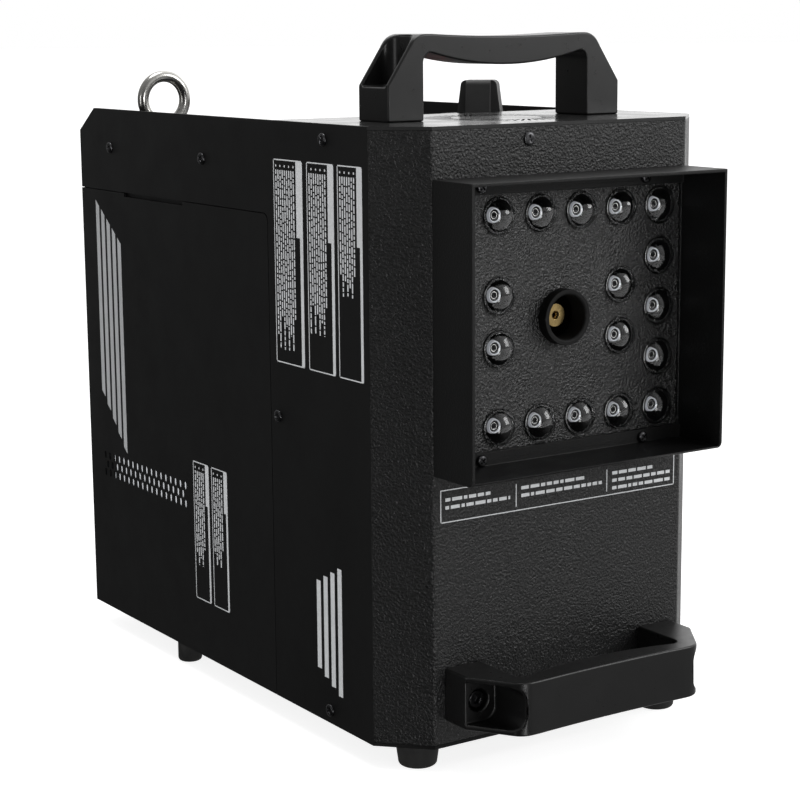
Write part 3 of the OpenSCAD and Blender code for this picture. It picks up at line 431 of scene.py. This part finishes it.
FINISH = {
    "wrinkle_coat": coat("wrinkle_coat", 0.005, 0.34, 1.2, 0.6, 0.55, True),
    "smooth_coat": coat("smooth_coat", 0.0036, 0.46, 0.45, 0.012, 0.25, False),
    "top_coat": coat("top_coat", 0.008, 0.18, 1.1, 0.02, 0.5, True),
    "lens": clear_plastic("lens", (0.98, 0.985, 0.99), 0.01),
    # emitter glows faintly: painted light that keeps the lamp cups bright wherever they fall in shade
    "emitter": print_ink("emitter", 0.75, 0.35, 0.22),
    "circuit_board": board("circuit_board", (0.01, 0.09, 0.03), (0.03, 0.17, 0.06)),
    "lamp_board": board("lamp_board", (0.01, 0.01, 0.01), (0.02, 0.02, 0.02)),
    "heat_sink": metal("heat_sink", (0.78, 0.79, 0.8), 0.35, (1.0, 1.0, 0.1)),
    "collar": plastic("collar", 0.005, 0.6, 0.6, 0.02, 0.25),
    "nozzle_brass": metal("nozzle_brass", (0.83, 0.6, 0.26), 0.2, (1.0, 0.3, 1.0), 0.55),
    "mineral_wool": wool("mineral_wool"),
    "bracket_steel": metal("bracket_steel", (0.62, 0.63, 0.64), 0.38, (0.1, 1.0, 1.0)),
    "ceramic_case": plastic("ceramic_case", 0.7, 0.6, 0.8, 0.05, 0.3, (0.72, 0.66, 0.54)),
    "pump_case": metal("pump_case", (0.3, 0.31, 0.33), 0.4, (1.0, 0.2, 1.0)),
    "hose_clear": clear_plastic("hose_clear", (0.9, 0.93, 0.88), 0.12),
    "copper_pipe": metal("copper_pipe", (0.8, 0.42, 0.27), 0.28, (1.0, 1.0, 0.2), 0.45),
    "tank_white": translucent_tank("tank_white"),
    "seal_rubber": rubber("seal_rubber", 0.014),
    "grip_plastic": plastic("grip_plastic", 0.006, 0.3, 0.7, 0.015, 0.55),
    "black_screw": metal("black_screw", (0.12, 0.12, 0.125), 0.24, (1.0, 1.0, 1.0), 0.5),
    "plated_steel": metal("plated_steel", (0.68, 0.67, 0.64), 0.2, (1.0, 1.0, 0.25), 0.7),
    "foot_rubber": rubber("foot_rubber", 0.011),
    "fan_plastic": plastic("fan_plastic", 0.008, 0.45, 0.6, 0.03),
    "fascia": plastic("fascia", 0.016, 0.35, 0.4, 0.01),
    "display": glass_display("display"),
    "button": plastic("button", 0.4, 0.4, 0.6, 0.01, 0.5, (0.42, 0.43, 0.45)),
    "socket_black": plastic("socket_black", 0.014, 0.42, 0.5, 0.02),
    "rocker_red": plastic("rocker_red", 0.3, 0.28, 0.5, 0.01, 0.5, (0.55, 0.02, 0.015)),
    "socket_metal": metal("socket_metal", (0.7, 0.7, 0.72), 0.25, (0.2, 1.0, 1.0), 0.7),
    "pin_metal": metal("pin_metal", (0.85, 0.72, 0.42), 0.2, (1.0, 1.0, 0.2), 0.7),
}
PANEL_COAT = coat("panel_coat", 0.005, 0.27, 1.15, 0.6, 0.75, True)
HOOD_COAT = coat("hood_coat", 0.005, 0.44, 1.0, 0.1, 0.3, True)
CAP_PLASTIC = plastic("cap_plastic", 0.05, 0.5, 0.7, 0.015, 0.35)
# darker, less glossy copy of grip_plastic for the front handle: painted shade
SHADED_FRONT_GRIP = plastic("shaded_front_grip", 0.005, 0.3, 0.7, 0.015, 0.5)
SIDE_INK = print_ink("side_ink", 0.62)
SILVER_INK = print_ink("silver_ink", 0.42, 0.4)
# pale screen behind the air slots glows: painted light standing in for light seen through the slots
GLOWING_SLOT_SCREEN = print_ink("glowing_slot_screen", 0.7, 0.6, 0.22)
REFLECTOR = metal("lamp_reflector", (0.86, 0.86, 0.84), 0.16, (1.0, 1.0, 1.0), 0.9, 0.001)
LAMP_WELL = plastic("lamp_well", 0.002, 0.6, 0.6, 0.02, 0.1)
BEZEL = plastic("lamp_bezel", 0.006, 0.16, 0.6, 0.01, 0.6)


# ---------------------------------------------------------------- camera and studio

CAMERA_AT = (-724.8, -927.4, 415.4)
CAMERA_TURN, CAMERA_DIP, CAMERA_ROLL = 33.35, 10.50, -0.47
CAMERA_LENS = 91.16


def make_camera():
    data = bpy.data.cameras.new("camera")
    data.sensor_width = 36.0
    data.lens = CAMERA_LENS
    camera = bpy.data.objects.new("camera", data)
    bpy.context.scene.collection.objects.link(camera)
    turn = Matrix.Rotation(math.radians(-CAMERA_TURN), 4, "Z")
    dip = Matrix.Rotation(math.radians(90 - CAMERA_DIP), 4, "X")
    roll = Matrix.Rotation(math.radians(CAMERA_ROLL), 4, "Z")
    camera.matrix_world = Matrix.Translation(CASE_TO_PART @ Vector(CAMERA_AT)) @ turn @ dip @ roll
    bpy.context.scene.camera = camera


def make_floor():
    bm = bmesh.new()
    lathe(bm, [(0, 0), (1, 0), (4, 0), (40, 0)], Matrix.Identity(4), 64)
    mesh = bpy.data.meshes.new("floor")
    bm.to_mesh(mesh)
    bm.free()
    f = Finish("floor_paper", Specular_IOR_Level=0.1, Emission_Color=(1.0, 1.0, 1.0, 1.0),
               Emission_Strength=0.86)
    f.colour(f.blend(f.noise(400.0, 2.0), grey(0.58), grey(0.62)))
    f.roughness(f.spread(f.noise(90.0, 2.0), 0.85, 0.95))
    mesh.materials.append(f.material)
    floor = bpy.data.objects.new("floor", mesh)
    bpy.context.scene.collection.objects.link(floor)
    floor.visible_glossy = False


def make_sky():
    """Soft room light: bright from the right (+X) and the back, dim from the left and from below,
    with one small bright panel low in front, which the lenses mirror."""
    world = bpy.data.worlds.new("studio")
    bpy.context.scene.world = world
    world.use_nodes = True
    nodes, links = world.node_tree.nodes, world.node_tree.links
    split = nodes.new("ShaderNodeSeparateXYZ")
    links.new(nodes.new("ShaderNodeTexCoord").outputs["Generated"], split.inputs["Vector"])

    def ramp(axis, start, end, low, high):
        node = nodes.new("ShaderNodeMapRange")
        node.interpolation_type = "SMOOTHSTEP"
        node.inputs["From Min"].default_value = start
        node.inputs["From Max"].default_value = end
        node.inputs["To Min"].default_value = low
        node.inputs["To Max"].default_value = high
        links.new(split.outputs[axis], node.inputs["Value"])
        return node.outputs["Result"]

    def product(a, b):
        node = nodes.new("ShaderNodeMath")
        node.operation = "MULTIPLY"
        links.new(a, node.inputs[0])
        links.new(b, node.inputs[1])
        return node.outputs["Value"]

    def total(a, b):
        node = nodes.new("ShaderNodeMath")
        links.new(a, node.inputs[0])
        links.new(b, node.inputs[1])
        return node.outputs["Value"]

    light = product(ramp("X", -0.5, 0.65, 0.05, 0.62), ramp("Z", -0.4, 0.1, 0.4, 1.0))
    light = product(light, ramp("Y", -0.5, 0.6, 1.0, 2.0))
    light = total(light, ramp("Z", 0.0, 0.5, 0.0, 0.16))
    panel = product(ramp("X", -0.24, -0.2, 0.0, 6.0), ramp("X", -0.06, -0.02, 1.0, 0.0))
    panel = product(panel, product(ramp("Y", -0.45, -0.35, 1.0, 0.0), ramp("Z", 0.1, 0.16, 1.0, 0.0)))
    panel = product(panel, ramp("Z", -0.5, -0.4, 0.0, 1.0))
    light = total(light, panel)
    pick = nodes.new("ShaderNodeMix")
    pick.data_type = "FLOAT"
    links.new(nodes.new("ShaderNodeLightPath").outputs["Is Camera Ray"], pick.inputs["Factor"])
    links.new(light, pick.inputs["A"])
    pick.inputs["B"].default_value = 1.0
    sky = nodes["Background"]
    sky.inputs["Color"].default_value = (1.0, 1.0, 1.0, 1.0)
    links.new(pick.outputs["Result"], sky.inputs["Strength"])


def make_light(name, at, size, power):
    """A soft rectangular lamp at a place in metres, aimed at the middle of the machine."""
    data = bpy.data.lights.new(name, "AREA")
    data.shape = "RECTANGLE"
    data.size, data.size_y = size
    data.energy = power
    light = bpy.data.objects.new(name, data)
    bpy.context.scene.collection.objects.link(light)
    light.location = at
    middle = (CAD_BOX[0] + CAD_BOX[1]) / 2
    light.rotation_euler = (middle - Vector(at)).to_track_quat("-Z", "Y").to_euler()


def make_studio():
    make_camera()
    make_floor()
    make_sky()
    make_light("key_light", (1.5, -1.7, 1.2), (0.9, 1.3), 14)
    make_light("top_light", (-0.1, 0.1, 2.2), (1.0, 1.0), 12)
    make_light("left_light", (-2.4, -0.1, 0.35), (0.45, 1.2), 4)


# ---------------------------------------------------------------- lamps

BEZEL_R = 11.2
WELL_R = 9.1
CUP_R, CUP_TIP_R, LIP_R = 4.6, 4.1, 0.3
RING_R, RING_WIRE = 2.0, 0.24
LINER_R, LINER_MOUTH_R, LINER_WALL = 14.4, 9.6, 0.4
LINER_FRONT, LINER_DEPTH = 8.0, 9.0


def make_lamps():
    """Each lamp: black well and bezel, a faintly glowing cup (painted light) round a ringed emitter, and a
    clear domed lens.
    """
    wells, bezels, rings, dies, lenses = (bmesh.new() for _ in range(5))
    board = PANEL_Y - BOARD_Y
    cup_foot, cup_tip = board + 3.7, board + 6.0
    for x, z in lamp_places():
        out = facing((0, -1, 0), (x, PANEL_Y, z))
        lathe(wells, [(WELL_R, 0.1), (WELL_R - 0.2, -1.6), (WELL_R - 0.5, board + 2.4),
                      (WELL_R - 1.7, board + 1.0), (0, board + 0.6)], out)
        lathe(bezels, [(BEZEL_R - 0.5, 0.0), (BEZEL_R - 0.1, 0.9)]
              + arc(BEZEL_R + 0.15, 0.92, 0.16, 150, 0, 6) + [(FLANGE_R, 0.5), (FLANGE_R, 0.0)], out, 56)
        lathe(wells, [(CUP_R + 0.4, board + 0.8), (CUP_R + 0.3, cup_foot - 0.3), (CUP_R, cup_foot)], out, 32)
        lip = arc(CUP_TIP_R - 0.25, cup_tip + 0.1, LIP_R, 0, 180, 4)
        lathe(rings, [(CUP_R, cup_foot), (CUP_TIP_R, cup_tip)] + lip + [(CUP_TIP_R - 0.7, cup_tip - 0.6)],
              out, 48)
        lathe(wells, [(CUP_TIP_R - 0.65, cup_tip - 0.5), (2.4, cup_tip - 1.0), (0, cup_tip - 1.0)], out, 32)
        lathe(dies, arc(RING_R, cup_tip - 0.9, RING_WIRE, 0, 360, 8), out, 32)
        lathe(lenses, lens_profile(), out, 56)
    # black tube behind the nozzle collar: painted shade inside its bore
    lathe(wells, liner_profile(), facing((0, 1, 0), (0, 0, NOZZLE_Z)))
    publish("lamp_wells", wells, LAMP_WELL)
    publish("lamp_bezels", bezels, BEZEL, smooth_angle=60)
    # the cups glow faintly: painted light
    publish("lamp_cups", rings, FINISH["emitter"], replaces=("led_emitters",),
            smooth_angle=50)
    publish("emitter_rings", dies, REFLECTOR, smooth_angle=60)
    publish("lamp_lenses", lenses, FINISH["lens"], replaces=("led_lenses",))


def liner_profile():
    """Closed half outline of the black tube behind the nozzle collar, with its back closed in. The tube is
    painted shade: a dark sheet that keeps the collar's bore dark.
    """
    back = BOARD_Y + LINER_DEPTH
    inside_r = LINER_R - LINER_WALL
    return [(LINER_R, LINER_FRONT), (LINER_R, back), (LINER_MOUTH_R, back),
            (LINER_MOUTH_R, back - LINER_WALL), (inside_r, back - LINER_WALL), (inside_r, LINER_FRONT),
            (LINER_R, LINER_FRONT)]


def lens_profile():
    """Half outline of a thin domed lens: outer dome, its rim inside the bezel, then the inner face."""
    height = PANEL_Y - LAMP_SPAN[0].y
    rim_h, wall = 0.9, 1.0
    rise = height - rim_h
    sphere_r = (BEZEL_R ** 2 + rise ** 2) / (2 * rise)
    outer_end = math.degrees(math.asin(BEZEL_R / sphere_r))
    outer = arc(0, height - sphere_r, sphere_r, 90, 90 - outer_end, 14)
    outer[0] = (0, height)
    rim = [(BEZEL_R, 0.3), (BEZEL_R - wall, 0.3)]
    inner_r = sphere_r - wall
    inner_end = math.degrees(math.asin((BEZEL_R - wall - 0.2) / inner_r))
    inner = arc(0, height - sphere_r, inner_r, 90 - inner_end, 90, 12)
    inner[-1] = (0, height - wall)
    return outer + rim + inner


# ---------------------------------------------------------------- screws, eye and prints

def screw_head(bm, matrix, head_r, head_h, cross):
    """Domed pan head with a cross recess, standing on z = 0."""
    wide, narrow, deep = cross, cross * 0.28, head_h * 0.55
    steps = 48
    ring_r = [head_r, head_r, head_r * 0.94, head_r * 0.82, head_r * 0.64]
    ring_z = [0.0, head_h * 0.45, head_h * 0.72, head_h * 0.9, head_h]
    rings = [[bm.verts.new(matrix @ Vector((r * math.cos(2 * math.pi * i / steps),
                                             r * math.sin(2 * math.pi * i / steps), z)))
              for i in range(steps)] for r, z in zip(ring_r, ring_z)]
    for low, high in zip(rings, rings[1:]):
        for i in range(steps):
            j = (i + 1) % steps
            bm.faces.new([low[i], low[j], high[j], high[i]])
    outline = []
    for quarter in range(4):
        turn = Matrix.Rotation(math.radians(90 * quarter), 3, "Z")
        for x, y in ((wide, -narrow), (wide, narrow), (narrow, narrow)):
            outline.append(turn @ Vector((x, y, 0)))
    rim = [bm.verts.new(matrix @ (p + Vector((0, 0, head_h)))) for p in outline]
    floor_z = head_h - deep
    foot = [bm.verts.new(matrix @ (p * 0.55 + Vector((0, 0, floor_z)))) for p in outline]
    for i in range(len(rim)):
        j = (i + 1) % len(rim)
        bm.faces.new([rim[i], foot[i], foot[j], rim[j]])
    bm.faces.new(foot)
    last = rings[-1]
    for i in range(steps):
        j = (i + 1) % steps
        a = rim[nearest(i, steps, outline)]
        b = rim[nearest(j, steps, outline)]
        bm.faces.new([last[i], last[j], b, a] if a is not b else [last[i], last[j], a])


def nearest(i, steps, outline):
    """Index of the cross outline's corner that a ring vertex joins to, in turning order."""
    angle = 2 * math.pi * i / steps

    def gap(corner):
        turn = math.atan2(corner.y, corner.x) % (2 * math.pi) - angle
        return abs((turn + math.pi) % (2 * math.pi) - math.pi)

    return min(range(len(outline)), key=lambda k: gap(outline[k]))


SIDE_SCREWS = ((355.7, 333.6), (221.6, 332.7), (73.1, 350.9), (129.9, 180.6), (73.7, 8.3))
REAR_SCREW_X, REAR_SCREW_Z = 106, (22, 174, 326)
FRONT_SCREW = (-25, 0, 351)
HOOD_SCREW_X, HOOD_LIP_Y, HOOD_SCREW_INSET = 60, -1.5, 3.2


def make_screws():
    """Cross-recess pan heads, each turned to its own angle. SIDE_SCREWS holds (y, z) places."""
    panel, hood = bmesh.new(), bmesh.new()
    for side in (-1, 1):
        for k, (y, z) in enumerate(SIDE_SCREWS):
            screw_head(panel, facing((side, 0, 0), (side * HALF_W, y, z), 20 + 31 * k), 3.9, 1.5, 2.4)
        for k, z in enumerate(REAR_SCREW_Z):
            out = facing((0, 1, 0), (side * REAR_SCREW_X, CASE_L, z), 15 + 40 * k)
            screw_head(panel, out, 3.4, 1.8, 2.1)
    screw_head(panel, facing((0, -1, 0), FRONT_SCREW, 12), 4.0, 1.2, 2.4)
    lo, hi = span("hood_screws")
    for side in (-1, 1):
        for z in (lo.z + HOOD_SCREW_INSET, hi.z - HOOD_SCREW_INSET):
            out = facing((0, -1, 0), (side * HOOD_SCREW_X, HOOD_LIP_Y, z), 45)
            screw_head(hood, out, 3.5, 2.2, 2.1)
    slot = "black_screw"
    publish("panel_screw_heads", panel, FINISH[slot], replaces=("panel_screws",))
    publish("hood_screw_heads", hood, FINISH[slot], replaces=("hood_screws",))


def make_eye_bolt():
    """Lifting eye: round ring blended into a flared neck on a round base."""
    lo, hi = span("eye_bolt")
    wire = 3.85
    ring_r = (hi.x - lo.x) / 2 - wire
    centre = Vector(((lo.x + hi.x) / 2, (lo.y + hi.y) / 2, hi.z - ring_r - wire))
    bm = bmesh.new()
    circle = [(ring_r + wire * math.cos(a), wire * math.sin(a))
              for a in [2 * math.pi * i / 24 for i in range(25)]]
    lathe(bm, circle, facing((0, 1, 0), centre), 96)
    foot = Matrix.Translation((centre.x, centre.y, DECK_Z))
    top = centre.z - ring_r - DECK_Z
    neck = [(0, 0), (9.7, 0), (10, 0.4), (10, 3.6), (9.4, 4.5), (7.2, 4.9)]
    neck += [(5.4, 5.8), (4.7, 6.8), (4.6, top - 3.0), (5.0, top - 1.0), (3.0, top + 0.4), (0, top + 0.6)]
    lathe(bm, neck, foot, 48)
    bmesh.ops.remove_doubles(bm, verts=bm.verts, dist=1e-4)
    publish("lifting_eye", bm, FINISH["plated_steel"], replaces=("eye_bolt",),
            smooth_angle=48)


PRINT_T = 0.06
TALL_NOTICES = (((31.6, 58.0), 7, 0.62), ((62.0, 92.0), 8, 0.85), ((97.0, 130.5), 9, 0.97))
TALL_NOTICE_Z = (214.5, 337.3)
LOW_NOTICES = (((198.3, 219.5), 5, 0.72), ((223.3, 244.8), 5, 0.78))
LOW_NOTICE_Z = (38.8, 132.7)
SLOT_FIELD = ((254.0, 96.0), (366.5, 118.0))


def side_matrix(side):
    """Maps (y, z, lift) drawn on a side face to the case's frame."""
    return Matrix(((0, 0, side, side * HALF_W), (1, 0, 0, 0), (0, 1, 0, 0), (0, 0, 0, 1)))


def label_box(bm, m, y0, y1, z0, z1, columns, reach, header):
    """Outlined notice: frame, header bar with a narrow tail, bullets and columns of plain dashes."""
    line, dash_w, gap = 0.7, 0.62, 0.9
    for low, high in (((y0, z0), (y0 + line, z1)), ((y1 - line, z0), (y1, z1)),
                      ((y0, z0), (y1, z0 + line)), ((y0, z1 - line), (y1, z1))):
        block(bm, (*low, 0.0), (*high, PRINT_T), m)
    head_w = (y1 - y0) * 0.22
    split = z1 - (z1 - z0) * header
    block(bm, (y0 + line, split, 0.0), (y0 + head_w, z1 - line, PRINT_T), m)
    block(bm, (y0 + line, z0 + line, 0.0), (y0 + head_w * 0.45, split, PRINT_T), m)
    left = y0 + head_w + 1.6
    pitch = (y1 - line - 1.0 - left) / columns
    for c in range(columns):
        y = left + (c + 0.5) * pitch
        stop = z1 - 5.0 - (z1 - z0 - 10.0) * (reach if c % 2 else reach * (0.82 + 0.05 * (c % 3)))
        if c % 2 == 0:
            block(bm, (y - 0.6, z1 - 4.6, 0.0), (y + 0.6, z1 - 3.4, PRINT_T), m)
        z = z1 - 6.4
        while z > stop:
            dash = random.uniform(1.6, 6.5)
            end = max(z - dash, stop)
            block(bm, (y - dash_w, end, 0.0), (y + dash_w, z, PRINT_T), m)
            z = end - gap


def make_prints():
    """Plain stand-ins for the printed notices: outlines, bars, dashes and stripes, no lettering.

    Each row of TALL_NOTICES and LOW_NOTICES holds its reach along y, its columns of dashes and how far down
    the columns run. A pale screen behind the air slots, glowing faintly as painted light, shows through
    them.
    """
    ink, silver = bmesh.new(), bmesh.new()
    for side in (-1, 1):
        m = side_matrix(side)
        for (y0, y1), columns, reach in TALL_NOTICES:
            label_box(ink, m, y0, y1, *TALL_NOTICE_Z, columns, reach, 0.37)
        for (y0, y1), columns, reach in LOW_NOTICES:
            label_box(ink, m, y0, y1, *LOW_NOTICE_Z, columns, reach, 0.3)
        for k in range(5):
            y = 344.0 + 8.2 * k
            slant_band(silver, m, y, y + 5.2, 120.0 + 9.0 * k, 268.0 + 6.0 * k, 4.0)
        for k in range(4):
            y = 59.0 + 8.0 * k
            block(ink, (y, 20.0 + 4.0 * k, 0.0), (y + 4.6, 99.0 - 4.0 * k, PRINT_T), m)
    front_notice(ink)
    screen = bmesh.new()
    for side in (-1, 1):
        block(screen, (*SLOT_FIELD[0], -1.1), (*SLOT_FIELD[1], -0.9), side_matrix(side))
    publish("air_slot_screens", screen, GLOWING_SLOT_SCREEN)
    publish("notice_prints", ink, SIDE_INK)
    publish("stripe_prints", silver, SILVER_INK)


def slant_band(bm, m, y0, y1, z0, z1, rise):
    """Band that climbs by rise from y0 to y1."""
    outline = [(y0, z0), (y1, z0 + rise), (y1, z1 + rise), (y0, z1)]
    prism(bm, outline, 0.0, PRINT_T, m)


def front_notice(bm):
    """Notice under the hood: frame, two dividers, and three groups of plain dashes."""
    m = Matrix(((1, 0, 0, 0), (0, 0, -1, 0), (0, 1, 0, 0), (0, 0, 0, 1)))
    x1, z0, z1, line = 87.5, 134.7, 153.5, 0.6
    for low, high in (((-x1, z0), (x1, z0 + line)), ((-x1, z1), (x1, z1 + line)),
                      ((-x1, z0), (-x1 + line, z1)), ((x1 - line, z0), (x1, z1))):
        block(bm, (*low, 0.0), (*high, PRINT_T), m)
    for x in (-34.0, 34.0):
        block(bm, (x, z0 + 2.6, 0.0), (x + line, z1 - 2.6, PRINT_T), m)
    for x_low, x_high, rows in ((-84.0, -38.0, 2), (-30.0, 31.0, 2), (38.5, 84.0, 3)):
        for row in range(rows):
            z = z1 - 5.4 - row * 4.6
            x = x_low
            limit = x_high - (0.0 if row else 14.0)
            while x < limit:
                dash = min(random.uniform(2.2, 7.5), limit - x)
                block(bm, (x, z - 1.0, 0.0), (x + dash, z + 1.0, PRINT_T), m)
                x += dash + 1.2


# ---------------------------------------------------------------- the CAD nodes' own shapes

ROUNDED = {
    "left_side_panel": (0.5, 2), "right_side_panel": (0.5, 2),
    "left_rear_cover": (0.4, 2), "right_rear_cover": (0.4, 2), "top_plate": (0.5, 2),
    "control_deck": (0.4, 2), "rear_panel": (0.5, 2), "base_plate": (0.4, 2),
    "light_hood": (0.45, 2), "led_panel": (0.3, 2), "nozzle_collar": (0.6, 3),
    "brass_nozzle": (0.3, 2), "fluid_tank": (0.8, 2), "filler_neck": (0.4, 2),
    "cap_gasket": (0.3, 2), "tank_cap": (1.2, 4), "top_handle": (1.2, 3), "front_handle": (1.2, 3),
    "handle_screws": (0.4, 2), "eye_bolt_nut": (0.4, 2), "front_feet": (0.5, 2),
    "rear_feet": (0.5, 2), "back_feet": (0.5, 2), "fan_frame": (0.5, 2), "fan_rotor": (0.25, 2),
    "control_fascia": (0.5, 2), "display_window": (0.2, 2), "switch_housing": (0.5, 2),
    "power_rocker": (0.5, 3), "power_inlet": (0.5, 2), "dmx_in": (0.4, 2), "dmx_out": (0.4, 2),
    "socket_pins": (0.2, 2), "fuse_holder": (0.5, 2), "fuse_cap": (0.5, 2),
    "menu_button": (0.7, 3), "up_button": (0.7, 3), "down_button": (0.7, 3), "enter_button": (0.7, 3),
    "heater_jacket": (1.5, 3), "power_supply": (0.6, 2), "pump": (0.8, 2), "pump_clamp": (0.3, 2),
    "thermostat": (0.3, 2), "heater_brackets": (0.3, 2), "inner_shelf": (0.3, 2),
}
OWN_FINISH = {"led_panel": PANEL_COAT, "light_hood": HOOD_COAT, "tank_cap": CAP_PLASTIC,
              "front_handle": SHADED_FRONT_GRIP, "control_deck": FINISH["smooth_coat"]}
UNCLAMPED = {"top_handle", "front_handle", "light_hood"}
REPLACED = {"front_cover", "led_lenses", "led_emitters", "eye_bolt", "panel_screws", "hood_screws"}


def bent_path(half_w, corner, inset, bend_r, window_x):
    """Plan points of the front sheet from left to right, with round bends and window stops."""
    left = Vector((-half_w + corner + inset * math.tan(math.pi / 8), inset))
    cut = bend_r * math.tan(math.pi / 8)
    centre = (left.x + cut, left.y + bend_r)
    half = [(-half_w + inset * math.sqrt(2), corner)] + arc(*centre, bend_r, 225, 270, 5)
    half.append((-window_x, inset))
    return half + [(-x, y) for x, y in reversed(half)]


def make_front_cover():
    """The bent front sheet with its window, its two bends rounded."""
    lo, hi = span("front_cover")
    hood_lo, hood_hi = span("light_hood")
    sheet, bend_r, frame_x, frame_z = 2.0, 4.0, 2.5, 10.0
    window_x = hood_hi.x - frame_x
    outer = bent_path(HALF_W, hi.y, 0.0, bend_r, window_x)
    inner = bent_path(HALF_W, hi.y, sheet, bend_r - sheet, window_x)
    levels = [lo.z, hood_lo.z + frame_z, hood_hi.z - frame_z, hi.z]
    bm = bmesh.new()
    front = [[bm.verts.new((x, y, z)) for x, y in outer] for z in levels]
    back = [[bm.verts.new((x, y, z)) for x, y in inner] for z in levels]
    last, middle = len(outer) - 1, len(outer) // 2 - 1
    for k in range(3):
        for i in range(last):
            if k == 1 and i == middle:
                continue
            for skin in (front, back):
                bm.faces.new([skin[k][i], skin[k][i + 1], skin[k + 1][i + 1], skin[k + 1][i]])
        for i in (0, last) if k != 1 else (0, middle, middle + 1, last):
            bm.faces.new([front[k][i], front[k + 1][i], back[k + 1][i], back[k][i]])
    for k, columns in ((0, range(last)), (3, range(last)), (1, (middle,)), (2, (middle,))):
        for i in columns:
            bm.faces.new([front[k][i], front[k][i + 1], back[k][i + 1], back[k][i]])
    slot = SLOT_OF["front_cover"]
    publish("bent_front_cover", bm, FINISH[slot], replaces=("front_cover",), round_off=0.5)


def make_nodes():
    for node, (width, segments) in ROUNDED.items():
        piece = softened(node, width, segments)
        if node in OWN_FINISH:
            piece.data.materials[0] = OWN_FINISH[node]
    for node, cad in frame["nodes"].items():
        if node in ROUNDED or node in REPLACED:
            continue
        cad.data.materials.clear()
        cad.data.materials.append(FINISH[SLOT_OF[node]])


bpy.context.scene.view_settings.view_transform = "Standard"
make_studio()
make_nodes()
make_front_cover()
make_lamps()
make_screws()
make_eye_bolt()
make_prints()
